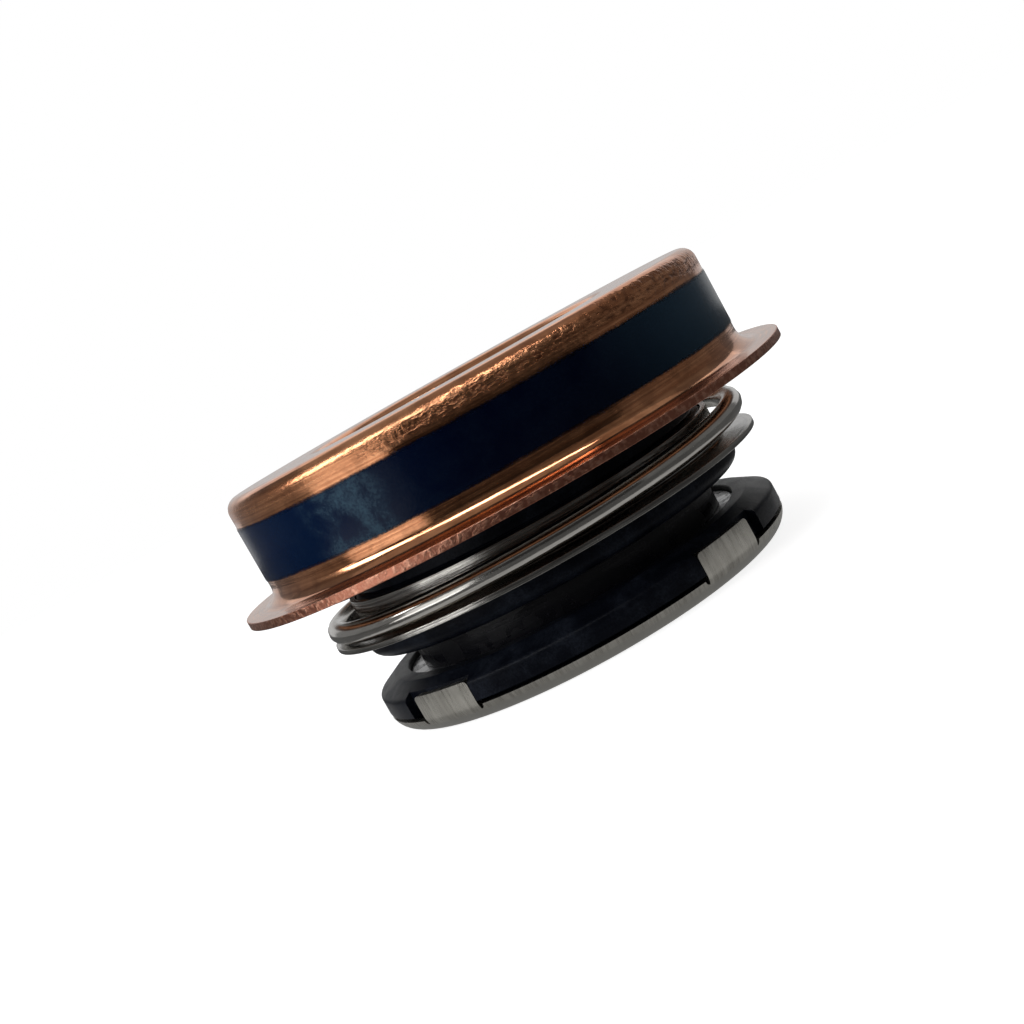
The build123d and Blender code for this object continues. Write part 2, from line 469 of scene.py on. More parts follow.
class Effects:
    """The effects that several finishes share, each built once."""

    def __init__(self) -> None:
        """Builds every effect."""
        self.place = self.build_place()
        self.streaks = self.build_streaks()
        self.mottle = self.build_mottle()
        self.window = self.build_window()

    @staticmethod
    def polar(tree: Tree) -> tuple[NodeSocket, ...]:
        """Adds the object's coordinates as unit x, unit y, radius and height in metres.

        Args:
            tree: The tree to build in.

        Returns:
            Unit x, unit y, radius and height.
        """
        place = tree.add("ShaderNodeTexCoord").outputs["Object"]
        parts = tree.add("ShaderNodeSeparateXYZ", {0: place}).outputs
        square = tree.math("ADD", tree.math("POWER", parts[0], 2.0), tree.math("POWER", parts[1], 2.0))
        radius = tree.math("MAXIMUM", tree.math("SQRT", square), 1e-5)
        across = tree.math("DIVIDE", parts[0], radius)
        along = tree.math("DIVIDE", parts[1], radius)
        return across, along, radius, parts[2]

    def build_place(self) -> NodeTree:
        """Radius and height of a point in millimetres, and how far round it lies as sine and cosine.

        Returns:
            The effect's tree.
        """
        tree, _, outputs = new_effect("seal_place", {}, ["Radius", "Height", "Side", "Front"])
        across, along, radius, height = self.polar(tree)
        tree.feed(outputs["Radius"], tree.math("DIVIDE", radius, MM))
        tree.feed(outputs["Height"], tree.math("DIVIDE", height, MM))
        tree.feed(outputs["Side"], across)
        tree.feed(outputs["Front"], tree.times(along, -1.0))
        return tree.tree

    def build_streaks(self) -> NodeTree:
        """Streaks round the axis, or along it: cells per millimetre across and cells per radian.

        Returns:
            The effect's tree.
        """
        inputs = {"Around": 3.0, "Across": 8.0, "Low": 0.35, "High": 0.65, "Seed": 0.0}
        tree, ports, outputs = new_effect("seal_streaks", inputs, ["Value"])
        across, along, radius, height = self.polar(tree)
        level = tree.math("DIVIDE", tree.math("ADD", height, radius), MM)
        parts = {
            0: tree.times(across, ports["Around"]),
            1: tree.times(along, ports["Around"]),
            2: tree.times(level, ports["Across"]),
        }
        vector = tree.add("ShaderNodeCombineXYZ", parts).outputs[0]
        noise = {"Vector": vector, "Scale": 1.0, "Detail": 4.0}
        tree.feed(outputs["Value"], self.clouds(tree, ports, noise))
        return tree.tree

    def build_mottle(self) -> NodeTree:
        """Blotches, with cells per millimetre.

        Returns:
            The effect's tree.
        """
        inputs = {"Scale": 1.0, "Low": 0.4, "High": 0.6, "Detail": 5.0, "Seed": 0.0}
        tree, ports, outputs = new_effect("seal_mottle", inputs, ["Value"])
        place = tree.add("ShaderNodeTexCoord").outputs["Object"]
        size = tree.math("DIVIDE", ports["Scale"], MM)
        noise = {"Vector": place, "Scale": size, "Detail": ports["Detail"], "Distortion": 0.4}
        tree.feed(outputs["Value"], self.clouds(tree, ports, noise))
        return tree.tree

    @staticmethod
    def clouds(tree: Tree, ports: Ports, inputs: dict[str, object]) -> NodeSocket:
        """Adds noise with the effect's seed, and brings it from the effect's low and high to 0 and 1.

        Args:
            tree: The tree to build in.
            ports: The effect's inputs.
            inputs: The noise node's own inputs.

        Returns:
            The value from 0 to 1.
        """
        inputs = {**inputs, "W": ports["Seed"], "Roughness": 0.6}
        noise = tree.add("ShaderNodeTexNoise", inputs, noise_dimensions="4D").outputs[0]
        return tree.step(noise, ports["Low"], ports["High"])

    def build_window(self) -> NodeTree:
        """One inside a range of a value, fading to nought over a soft edge at both ends.

        Returns:
            The effect's tree.
        """
        inputs = {"Value": 0.0, "Low": 0.0, "High": 1.0, "Soft": 0.1}
        tree, ports, outputs = new_effect("seal_window", inputs, ["Mask"])
        rise = self.edge(tree, ports["Value"], ports["Low"], ports["Soft"])
        fall = self.edge(tree, ports["Value"], ports["High"], ports["Soft"])
        tree.feed(outputs["Mask"], tree.times(rise, tree.math("SUBTRACT", 1.0, fall)))
        return tree.tree

    @staticmethod
    def edge(tree: Tree, value: object, at: object, soft: object) -> NodeSocket:
        """Adds a soft step from 0 to 1 about a value."""
        return tree.step(value, tree.math("SUBTRACT", at, soft), tree.math("ADD", at, soft))


# Finishes


def new_material(name: str, **constants: object) -> tuple[Tree, Node, Material]:
    """Starts a material with a Principled shader.

    Args:
        name: The material's name.
        constants: Values for the shader's own sockets; an underscore stands for a space.

    Returns:
        The tree, the shader and the material.
    """
    material = bpy.data.materials.new(name)
    material.use_nodes = True
    tree = Tree(material.node_tree)
    shader = material.node_tree.nodes["Principled BSDF"]
    for key, value in constants.items():
        label = key.replace("_", " ").title().replace("Ior", "IOR")
        shader.inputs[label].default_value = value
    return tree, shader, material


def add_relief(
    tree: Tree, shader: Node, height: NodeSocket, depth: float, strength: float = 1.0
) -> None:
    """Feeds a height to the shader's normal.

    Args:
        tree: The material's tree.
        shader: Its shader.
        height: The height from 0 to 1.
        depth: The real depth in millimetres.
        strength: How much of the bump shows.
    """
    inputs = {"Height": height, "Distance": depth * MM, "Strength": strength}
    bump = tree.add("ShaderNodeBump", inputs)
    tree.feed(shader.inputs["Normal"], bump.outputs[0])


@dataclass(frozen=True)
class CopperFinish:
    """Copper-coloured drawn sheet: fine turned streaks, a hammered top corner and a sheared edge."""

    top: float
    flange_edge: float
    corner_height: float = 1.6
    corner_end: float = 0.3
    case_inset: float = 5.0
    edge_inset: float = 0.07
    bright: Colour = (0.78, 0.37, 0.19)
    brown: Colour = (0.47, 0.19, 0.09)
    stain: Colour = (0.10, 0.032, 0.018)
    sheared: Colour = (0.38, 0.15, 0.095)
    torn: Colour = (0.62, 0.31, 0.21)
    rough: float = 0.08
    depth: float = 0.03

    def build(self, effects: Effects) -> Material:
        """Builds the material from the shared effects.

        Args:
            effects: The shared effects.

        Returns:
            The material.
        """
        tree, shader, material = new_material("drawn_copper_case", metallic=1.0)
        place = tree.group(effects.place)
        height, radius, side = (place.outputs[label] for label in ("Height", "Radius", "Side"))
        fine = tree.layer(effects.streaks, around=2.2, across=7.0)
        broad = tree.layer(effects.streaks, around=1.6, across=1.6, seed=4.0)
        pits = tree.layer(effects.streaks, around=30.0, across=4.0, low=0.44, high=0.68, seed=2.0)
        dents = tree.layer(effects.mottle, scale=1.5, low=0.3, high=0.7, detail=2.0, seed=5.0)
        blotch = tree.layer(effects.mottle, scale=0.45, low=0.45, high=0.62, seed=7.0)
        start, end = self.top - self.corner_height, self.top - self.corner_end
        corner = tree.layer(effects.window, value=height, low=start, high=end, soft=0.25)
        on_case = tree.math("GREATER_THAN", radius, self.flange_edge - self.case_inset)
        corner = tree.times(corner, on_case)
        start, end = self.flange_edge - self.edge_inset, self.flange_edge + 1.0
        cut = tree.layer(effects.window, value=radius, low=start, high=end, soft=0.03)
        ticks = tree.layer(effects.streaks, around=60.0, across=3.0, low=0.42, high=0.66, seed=9.0)
        # The corner's pits and dents are weighted from 0.15 on the left side to 1 on the right, so the
        # corner is darker towards the right; worn holds that weighting.
        right = tree.layer(effects.window, value=side, low=-0.25, high=1.2, soft=0.3)
        worn = tree.times(corner, tree.line(right, 0.85, 0.15))
        marks = tree.times(pits, worn)
        colour = tree.mix(fine, self.brown, self.bright)
        colour = tree.mix(tree.times(broad, 0.35), colour, self.brown)
        colour = tree.mix(tree.times(marks, 0.75), colour, self.stain)
        colour = tree.mix(tree.times(blotch, 0.3), colour, self.stain)
        colour = tree.mix(cut, colour, tree.mix(ticks, self.sheared, self.torn))
        tree.feed(shader.inputs["Base Color"], colour)
        rough = tree.line(fine, 0.07, self.rough)
        for mask, added in ((corner, 0.13), (marks, 0.1), (cut, 0.2)):
            rough = tree.line(mask, added, rough)
        tree.feed(shader.inputs["Roughness"], rough)
        relief = tree.line(marks, -0.9, tree.times(fine, 0.1))
        relief = tree.line(tree.times(dents, worn), 1.1, relief)
        relief = tree.line(tree.times(cut, ticks), 0.7, relief)
        add_relief(tree, shader, relief, self.depth)
        return material


@dataclass(frozen=True)
class LacquerFinish:
    """Dark blue sealing lacquer, brushed on thinly, with a feathered edge top and bottom, and painted
    light and a painted reflection in its colour.
    """

    bottom: float
    top: float
    deep: Colour = (0.0002, 0.0010, 0.0060)
    # Painted light: the blue of the lacquer where light falls on its left side.
    lit: Colour = (0.0002, 0.0048, 0.021)
    # Painted light: a lighter teal-grey on the right side.
    right_painted_light: Colour = (0.011, 0.028, 0.046)
    # Painted reflection: a pale blue-grey for the window's mirrored patch, also used faintly all round
    # as real haze.
    painted_reflection_haze: Colour = (0.025, 0.054, 0.080)
    reflection_side: float = -0.49
    reflection_reach: float = 0.12
    ragged_edge: float = 0.18
    fade_low: float = 0.2
    fade_high: float = 0.08
    depth: float = 0.003

    def build(self, effects: Effects) -> Material:
        """Builds the material from the shared effects.

        Args:
            effects: The shared effects.

        Returns:
            The material.
        """
        tree, shader, material = new_material("blue_sealing_lacquer", specular_ior_level=0.06)
        place = tree.group(effects.place)
        side = place.outputs["Side"]
        cloud = tree.layer(effects.mottle, scale=0.45, low=0.38, high=0.62, seed=3.0)
        grain = tree.layer(effects.mottle, scale=5.0, low=0.35, high=0.65, seed=5.0)
        brush = tree.layer(effects.streaks, around=3.0, across=4.0, seed=6.0)
        # Painted reflection: a hazy patch at the front left, where the window card would show in a
        # mirror, over a faint real haze all round.
        start, end = self.reflection_side - self.reflection_reach, self.reflection_side + self.reflection_reach
        painted_reflection = tree.layer(effects.window, value=side, low=start, high=end, soft=0.07)
        painted_reflection = tree.times(painted_reflection, tree.math("GREATER_THAN", place.outputs["Front"], 0.0))
        haze_and_painted_reflection = tree.times(cloud, tree.line(grain, 0.5, 0.35))
        haze_and_painted_reflection = tree.times(haze_and_painted_reflection, tree.line(painted_reflection, 0.9, 0.04))
        # Painted light: lighter blue towards the left side and teal-grey towards the right side, by how
        # the light falls.
        left = tree.layer(effects.window, value=side, low=-1.5, high=-0.35, soft=0.4)
        right = tree.layer(effects.window, value=side, low=0.72, high=1.5, soft=0.36)
        colour = tree.mix(left, self.deep, self.lit)
        colour = tree.mix(right, colour, self.right_painted_light)
        tree.feed(shader.inputs["Base Color"], tree.mix(haze_and_painted_reflection, colour, self.painted_reflection_haze))
        tree.feed(shader.inputs["Roughness"], tree.line(haze_and_painted_reflection, 0.3, 0.2))
        ragged = tree.line(brush, 0.12, place.outputs["Height"])
        ragged = tree.line(grain, 0.08, ragged)
        start, end = self.bottom + self.fade_low, self.top - self.fade_high
        solid = tree.layer(effects.window, value=ragged, low=start, high=end, soft=self.ragged_edge)
        tree.feed(shader.inputs["Alpha"], solid)
        add_relief(tree, shader, tree.line(brush, 0.3, grain), self.depth)
        return material


@dataclass(frozen=True)
class SteelFinish:
    """Stainless sheet or wire: how fine its streaks are, which way they run and how they shine."""

    name: str
    around: float
    across: float
    light: Colour = (0.60, 0.585, 0.54)
    dark: Colour = (0.36, 0.35, 0.32)
    rough_low: float = 0.16
    rough_high: float = 0.34
    depth: float = 0.008

    def build(self, effects: Effects) -> Material:
        """Builds the material from the shared effects.

        Args:
            effects: The shared effects.

        Returns:
            The material.
        """
        tree, shader, material = new_material(self.name, metallic=1.0)
        streaks = tree.layer(effects.streaks, around=self.around, across=self.across)
        smear = tree.layer(effects.mottle, scale=0.5, low=0.4, high=0.7, seed=8.0)
        specks = tree.layer(effects.mottle, scale=6.0, low=0.62, high=0.7, seed=1.0)
        colour = tree.mix(streaks, self.dark, self.light)
        colour = tree.mix(tree.times(specks, 0.5), colour, self.dark)
        tree.feed(shader.inputs["Base Color"], colour)
        wear = tree.line(smear, 0.5, tree.times(streaks, 0.5))
        tree.feed(shader.inputs["Roughness"], tree.spread(wear, self.rough_low, self.rough_high))
        add_relief(tree, shader, streaks, self.depth)
        return material


@dataclass(frozen=True)
class SleeveFinish:
    """Stainless sheet drawn upwards: fine axial lines, and a burnished bend under the rim."""

    bend_top: float
    light: Colour = (0.55, 0.53, 0.48)
    dark: Colour = (0.34, 0.325, 0.29)
    burnished: Colour = (0.41, 0.40, 0.37)

    def build(self, effects: Effects) -> Material:
        """Builds the material from the shared effects.

        Args:
            effects: The shared effects.

        Returns:
            The material.
        """
        tree, shader, material = new_material("sleeve_sheet", metallic=1.0)
        height = tree.group(effects.place).outputs["Height"]
        lines = tree.layer(effects.streaks, around=70.0, across=0.3)
        broad = tree.layer(effects.streaks, around=14.0, across=0.3, seed=4.0)
        bend = tree.layer(effects.window, value=height, low=-1.0, high=self.bend_top, soft=0.12)
        streaks = tree.line(broad, 0.5, tree.times(lines, 0.5))
        colour = tree.mix(streaks, self.dark, self.light)
        colour = tree.mix(tree.times(bend, 0.8), colour, self.burnished)
        tree.feed(shader.inputs["Base Color"], colour)
        rough = tree.line(lines, 0.12, 0.24)
        tree.feed(shader.inputs["Roughness"], tree.line(bend, 0.08, rough))
        relief = tree.times(lines, tree.line(bend, -0.8, 1.0))
        add_relief(tree, shader, relief, 0.008)
        return material


@dataclass(frozen=True)
class RubberFinish:
    """Moulded rubber: blue-black, satin, with a faint bloom and fine grain."""

    name: str
    black: Colour = (0.0012, 0.0016, 0.0032)
    bloom: Colour = (0.012, 0.015, 0.022)
    rough_low: float = 0.28
    rough_high: float = 0.5

    def build(self, effects: Effects) -> Material:
        """Builds the material from the shared effects.

        Args:
            effects: The shared effects.

        Returns:
            The material.
        """
        tree, shader, material = new_material(self.name, specular_ior_level=0.05)
        cloud = tree.layer(effects.mottle, scale=0.4, low=0.4, high=0.7, seed=11.0)
        grain = tree.layer(effects.mottle, scale=7.0, low=0.3, high=0.7, seed=12.0)
        bands = tree.layer(effects.streaks, around=1.5, across=3.0, seed=13.0)
        dust = tree.times(cloud, tree.line(grain, 0.6, 0.2))
        dust = tree.line(tree.times(bands, grain), 0.2, dust)
        tree.feed(shader.inputs["Base Color"], tree.mix(dust, self.black, self.bloom))
        tree.feed(shader.inputs["Roughness"], tree.spread(dust, self.rough_low, self.rough_high))
        add_relief(tree, shader, grain, 0.01)
        return material


@dataclass(frozen=True)
class HardFinish:
    """Machined carbon or lapped ceramic: near black with faint turning marks."""

    name: str
    deep: Colour
    pale: Colour
    rough: float
    shine: float = 0.5

    def build(self, effects: Effects) -> Material:
        """Builds the material from the shared effects.

        Args:
            effects: The shared effects.

        Returns:
            The material.
        """
        tree, shader, material = new_material(self.name, specular_ior_level=self.shine)
        marks = tree.layer(effects.streaks, around=1.2, across=9.0, seed=21.0)
        worn = tree.layer(effects.mottle, scale=0.5, low=0.5, high=0.54, detail=2.0, seed=23.0)
        specks = tree.layer(effects.mottle, scale=9.0, low=0.58, high=0.7, seed=22.0)
        tree.feed(shader.inputs["Base Color"], tree.mix(specks, self.deep, self.pale))
        rough = tree.line(marks, 0.1, self.rough)
        tree.feed(shader.inputs["Roughness"], tree.line(worn, -0.2, rough))
        add_relief(tree, shader, marks, 0.003)
        return material


# Pieces


@dataclass(frozen=True)
class Reach:
    """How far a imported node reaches: its outer radius and its lowest and highest level."""

    radius: float
    low: float
    high: float

    @classmethod
    def of(cls, node: str) -> "Reach":
        """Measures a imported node."""
        low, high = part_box(node)
        return cls(high.x / MM, low.z / MM, high.z / MM)


@dataclass(frozen=True)
class CaseShell:
    """The drawn case with its lacquer band and the clamp ring inside."""

    gauge: float = 0.6
    clamp_gauge: float = 0.45
    flange_bend: float = 1.2
    top_bend: float = 1.0
    hub_bore: float = 10.9
    hub_depth: float = 3.4
    hub_bend: float = 0.4
    hub_lip: float = 9.15
    lacquer: float = 0.05
    lacquer_round: float = 0.03
    clamp_guide: float = 14.3
    clamp_guide_drop: float = 1.1
    clamp_rim_drop: float = 1.8
    clamp_bend: float = 0.3

    def build_shell(self) -> Object:
        """Makes the case from its flange to its hub tube.

        Returns:
            The piece.
        """
        case = Reach.of("shell")
        outer = Reach.of("sealant_band").radius - self.lacquer
        flange_top = case.low + self.gauge
        hub_floor = case.high - self.hub_depth
        line = [
            Corner(case.radius, flange_top),
            Corner(outer, flange_top, self.flange_bend),
            Corner(outer, case.high, self.top_bend),
            Corner(self.hub_bore, case.high, self.top_bend),
            Corner(self.hub_bore, hub_floor, self.hub_bend),
            Corner(self.hub_lip, hub_floor),
        ]
        return lathe("case_shell", sheet(line, self.gauge), Shade.SHEET, steps=12)

    def build_band(self) -> Object:
        """Makes the thin band of lacquer.

        Returns:
            The piece.
        """
        band = Reach.of("sealant_band")
        inner = band.radius - self.lacquer
        corners = [
            Corner(inner, band.low),
            Corner(band.radius, band.low, self.lacquer_round),
            Corner(band.radius, band.high, self.lacquer_round),
            Corner(inner, band.high),
        ]
        return lathe("lacquer_band", corners, Shade.MOULDED, steps=3)

    def build_clamp(self) -> Object:
        """Makes the channel ring that seats the spring.

        Returns:
            The piece.
        """
        clamp = Reach.of("clamp_ring")
        seat = clamp.high - self.clamp_gauge
        rim = clamp.radius - self.clamp_gauge
        line = [
            Corner(self.clamp_guide, seat - self.clamp_guide_drop),
            Corner(self.clamp_guide, seat, self.clamp_bend),
            Corner(rim, seat, self.clamp_bend),
            Corner(rim, seat - self.clamp_rim_drop),
        ]
        return lathe("bellows_clamp", sheet(line, self.clamp_gauge), Shade.SHEET)

    def make(self, effects: Effects) -> None:
        """Builds and dresses the case's pieces.

        Args:
            effects: The shared effects.
        """
        case, band = Reach.of("shell"), Reach.of("sealant_band")
        copper = CopperFinish(case.high, case.radius).build(effects)
        lacquer = LacquerFinish(band.low, band.high).build(effects)
        steel = SteelFinish("clamp_sheet", around=2.0, across=6.0).build(effects)
        dress(self.build_shell(), copper, ["shell"], Body.CASE)
        dress(self.build_band(), lacquer, ["sealant_band"], Body.CASE)
        dress(self.build_clamp(), steel, ["clamp_ring"], Body.CASE)


@dataclass(frozen=True)
class CoilSpring:
    """The spring: a right-hand coil whose pitch eases in and out of its closed ends."""

    wire: float = 1.5
    coil_radius: float = 15.7
    dead_turns: float = 0.15
    ramp_turns: float = 0.9
    open_turns: float = 1.3
    start_angle: float = -200.0
    points: int = 220
    sides: int = 28

    def build_tree(self) -> NodeTree:
        """Builds the node tree that lays the wire along its coil.

        Returns:
            The tree.
        """
        group = bpy.data.node_groups.new("coil_spring", "GeometryNodeTree")
        sizes = ["Wire", "Coil Radius", "Bottom", "Top"]
        turns = ["Dead Turns", "Ramp Turns", "Open Turns", "Start Angle"]
        kinds = dict.fromkeys(sizes + turns, "Float")
        kinds.update({"Points": "Int", "Sides": "Int", "Finish": "Material"})
        for label, kind in kinds.items():
            group.interface.new_socket(label, in_out="INPUT", socket_type="NodeSocket" + kind)
        group.interface.new_socket("Geometry", in_out="OUTPUT", socket_type="NodeSocketGeometry")
        tree = Tree(group)
        ports = tree.add("NodeGroupInput").outputs
        index = tree.add("GeometryNodeInputIndex").outputs[0]
        ends = tree.math("ADD", ports["Dead Turns"], ports["Ramp Turns"])
        turns = tree.line(ends, 2.0, ports["Open Turns"])
        last = tree.math("SUBTRACT", ports["Points"], 1.0)
        turn = tree.math("DIVIDE", tree.times(turns, index), last)
        radius = tree.times(ports["Wire"], 0.5)
        height = self.climb(tree, ports, turn, turns, radius)
        angle = tree.line(turn, 2 * math.pi, ports["Start Angle"])
        across = tree.times(tree.math("SINE", angle), ports["Coil Radius"])
        along = tree.times(tree.math("COSINE", angle), ports["Coil Radius"])
        along = tree.times(along, -1.0)
        place = tree.add("ShaderNodeCombineXYZ", {0: across, 1: along, 2: height}).outputs[0]
        row = tree.add("GeometryNodeMeshLine", {"Count": ports["Points"]}).outputs[0]
        row = tree.add("GeometryNodeSetPosition", {"Geometry": row, "Position": place}).outputs[0]
        line = tree.add("GeometryNodeMeshToCurve", {"Mesh": row}).outputs[0]
        inputs = {"Resolution": ports["Sides"], "Radius": radius}
        circle = tree.add("GeometryNodeCurvePrimitiveCircle", inputs).outputs[0]
        inputs = {"Curve": line, "Profile Curve": circle, "Fill Caps": True}
        wire = tree.add("GeometryNodeCurveToMesh", inputs).outputs[0]
        wire = tree.add("GeometryNodeRealizeInstances", {0: wire}).outputs[0]
        inputs = {"Geometry": wire, "Material": ports["Finish"]}
        wire = tree.add("GeometryNodeSetMaterial", inputs).outputs[0]
        tree.add("NodeGroupOutput", {0: wire})
        return group

    @staticmethod
    def climb(
        tree: Tree, ports: bpy.types.NodeOutputs, turn: NodeSocket, turns: NodeSocket, radius: NodeSocket
    ) -> NodeSocket:
        """Adds the height of the wire's middle after a number of turns.

        Args:
            tree: The tree to build in.
            ports: The tree's inputs.
            turn: Turns from the cut end to the point.
            turns: Turns in all.
            radius: The wire's radius.

        Returns:
            The height.
        """
        bottom = tree.math("ADD", ports["Bottom"], radius)
        top = tree.math("SUBTRACT", ports["Top"], radius)
        rise = tree.math("SUBTRACT", top, bottom)
        slope = tree.math("DIVIDE", rise, tree.math("ADD", ports["Ramp Turns"], ports["Open Turns"]))
        from_end = tree.math("MINIMUM", turn, tree.math("SUBTRACT", turns, turn))
        past = tree.math("MAXIMUM", tree.math("SUBTRACT", from_end, ports["Dead Turns"]), 0.0)
        easing = tree.math("POWER", tree.math("MINIMUM", past, ports["Ramp Turns"]), 2.0)
        easing = tree.math("DIVIDE", easing, tree.times(ports["Ramp Turns"], 2.0))
        steady = tree.math("MAXIMUM", tree.math("SUBTRACT", past, ports["Ramp Turns"]), 0.0)
        climbed = tree.times(tree.math("ADD", easing, steady), slope)
        half = tree.math("SUBTRACT", tree.times(rise, 0.5), climbed)
        side = tree.math("SIGN", tree.line(turns, -0.5, turn))
        middle = tree.times(tree.math("ADD", bottom, top), 0.5)
        return tree.line(side, half, middle)

    def make(self, effects: Effects) -> None:
        """Builds and dresses the spring, which spans from the case to the head and rides on neither.

        Args:
            effects: The shared effects.
        """
        low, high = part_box("spring")
        finish = SteelFinish(
            "polished_spring_wire",
            around=3.0,
            across=1.6,
            light=(0.62, 0.60, 0.56),
            dark=(0.46, 0.44, 0.41),
            rough_low=0.12,
            rough_high=0.24,
            depth=0.003,
        ).build(effects)
        values = {
            "Wire": self.wire * MM,
            "Coil Radius": self.coil_radius * MM,
            "Bottom": low.z,
            "Top": high.z,
            "Dead Turns": self.dead_turns,
            "Ramp Turns": self.ramp_turns,
            "Open Turns": self.open_turns,
            "Start Angle": math.radians(self.start_angle),
            "Points": self.points,
            "Sides": self.sides,
            "Finish": finish,
        }
        piece = grown("pump_spring", self.build_tree(), values, Shade.SHEET)
        dress(piece, finish, ["spring"], None)
        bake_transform(piece)


def grown(name: str, group: NodeTree, values: dict[str, object], shade: Shade) -> Object:
    """Runs a geometry tree and keeps its result as a plain mesh.

    Args:
        name: The piece's name.
        group: The geometry tree.
        values: The tree's inputs by name.
        shade: Which edges stay sharp.

    Returns:
        The piece, with no modifier left.
    """
    seed = placed(name + "_seed", bpy.data.meshes.new(name + "_seed"))
    modifier = seed.modifiers.new("grow", "NODES")
    modifier.node_group = group
    for item in group.interface.items_tree:
        if item.item_type == "SOCKET" and item.in_out == "INPUT" and item.name in values:
            modifier[item.identifier] = values[item.name]
    result = seed.evaluated_get(bpy.context.evaluated_depsgraph_get())
    mesh = bpy.data.meshes.new_from_object(result)
    bpy.data.objects.remove(seed)
    mesh.name = name
    return finished_object(name, mesh, shade)


@dataclass(frozen=True)
class SealHead:
    """The sprung head: collar, carbon ring and the bellows that joins them to the case."""

    collar_gauge: float = 0.38
    collar_outer: float = 14.04
    collar_bend: float = 0.3
    nose_outer: float = 11.65
    carbon_bore: float = 9.6
    face_relief_width: float = 0.7
    face_relief_depth: float = 0.4
    nose_length: float = 2.25
    bead_height: float = 1.6
    bead_step: float = 0.39
    bead_round: float = 0.8
    grip_gap: float = 0.05
    cap_height: float = 0.85
    cap_overlap: float = 1.8
    wall: float = 0.9
    neck_inset: float = 0.6
    crest: float = 1.25
    fold_start: float = 1.6
    fold_height: float = 3.2
    fold_bend: float = 0.7
    top_neck: float = 12.75
    flange_bore: float = 11.55
    flange_height: float = 1.11
    neck_drop: float = 0.2

    def build_collar(self) -> Object:
        """Makes the thin sheet collar.

        Returns:
            The piece.
        """
        collar = Reach.of("spring_collar")
        seat = collar.low + self.collar_gauge
        line = [
            Corner(collar.radius, seat),
            Corner(self.collar_outer, seat, self.collar_bend),
            Corner(self.collar_outer, collar.high),
        ]
        return lathe("spring_seat_collar", sheet(line, self.collar_gauge, 0.05), Shade.SHEET)

    def build_carbon(self) -> Object:
        """Makes the carbon ring with its narrow running face.

        Returns:
            The piece.
        """
        carbon = Reach.of("carbon_ring")
        relief = self.carbon_bore + self.face_relief_width
        shoulder = carbon.low + self.nose_length
        relief_top = carbon.low + self.face_relief_depth
        corners = [
            Corner(relief, carbon.low, 0.03),
            Corner(self.nose_outer, carbon.low, 0.08),
            Corner(self.nose_outer, shoulder),
            Corner(carbon.radius, shoulder),
            Corner(carbon.radius, carbon.high, 0.25),
            Corner(self.carbon_bore, carbon.high, 0.1),
            Corner(self.carbon_bore, relief_top),
            Corner(relief, relief_top),
        ]
        return lathe("carbon_face_ring", corners, Shade.SHEET)

    def build_bellows(self) -> Object:
        """Makes the bellows: bead, grip, rolled fold and clamped flange in one skin.

        Returns:
            The piece.
        """
        rubber, carbon = Reach.of("bellows"), Reach.of("carbon_ring")
        bottom, top = rubber.low, rubber.high
        grip_inner = carbon.radius + self.grip_gap
        grip_outer = self.collar_outer - self.collar_gauge - self.grip_gap
        bead = self.collar_outer + self.bead_step
        cap_bottom = carbon.high + self.grip_gap
        cap_top = cap_bottom + self.cap_height
        neck = grip_outer - self.neck_inset
        fold_start = cap_top + self.fold_start
        fold_end = fold_start + self.fold_height
        middle = (fold_start + fold_end) / 2
        flange_bottom = top - self.flange_height
        inner = neck - self.wall
        slope = math.atan2(self.crest, self.fold_height / 2)
        lean = self.wall * (1 - math.sin(slope)) / math.cos(slope)
        back_slope = math.atan2(neck + self.crest - self.top_neck, self.fold_height / 2)
        back_lean = self.wall * (1 - math.sin(back_slope)) / math.cos(back_slope)
        corners = [
            Corner(grip_inner, bottom, 0.15),
            Corner(bead, bottom, self.bead_round),
            Corner(bead, bottom + self.bead_height, 0.1),
            Corner(grip_outer, bottom + self.bead_height, 0.05),
            Corner(grip_outer, cap_top, self.cap_height / 2),
            Corner(neck, cap_top, 0.15),
            Corner(neck, fold_start, self.fold_bend),
            Corner(neck + self.crest, middle, self.fold_bend + self.wall),
            Corner(self.top_neck, fold_end, self.fold_bend),
            Corner(self.top_neck, flange_bottom, 0.2),
            Corner(rubber.radius, flange_bottom, 0.1),
            Corner(rubber.radius, top, 0.3),
            Corner(self.flange_bore, top, 0.3),
            Corner(self.flange_bore, flange_bottom, 0.15),
            Corner(self.top_neck - self.wall, flange_bottom - self.neck_drop, 0.15),
            Corner(self.top_neck - self.wall, fold_end + back_lean, self.fold_bend + self.wall),
            Corner(neck + self.crest - self.wall / math.cos(slope), middle, self.fold_bend),
            Corner(inner, fold_start - lean, self.fold_bend + self.wall),
            Corner(inner, cap_top, 0.1),
            Corner(grip_inner - self.cap_overlap, cap_top, 0.25),
            Corner(grip_inner - self.cap_overlap, cap_bottom, 0.05),
            Corner(grip_inner, cap_bottom),
        ]
        return lathe("rubber_bellows", corners, Shade.MOULDED, steps=7)

    def make(self, effects: Effects) -> None:
        """Builds and dresses the head's pieces.

        Args:
            effects: The shared effects.
        """
        # Painted shade: the collar sheet gets much darker steel tones than the other stainless sheet,
        # for the shade that falls on it under the spring.
        steel = SteelFinish(
            "collar_sheet_painted_shade",
            around=2.0,
            across=5.0,
            light=(0.46, 0.45, 0.42),
            dark=(0.20, 0.19, 0.18),
            rough_low=0.14,
            rough_high=0.26,
        )
        carbon = HardFinish("carbon_graphite", (0.003, 0.003, 0.004), (0.014, 0.014, 0.016), 0.32, 0.2)
        rubber = RubberFinish("bellows_rubber").build(effects)
        dress(self.build_collar(), steel.build(effects), ["spring_collar"], Body.HEAD)
        dress(self.build_carbon(), carbon.build(effects), ["carbon_ring"], Body.HEAD)
        piece = self.build_bellows()
        dress(piece, rubber, ["bellows"], None)
        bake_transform(piece)


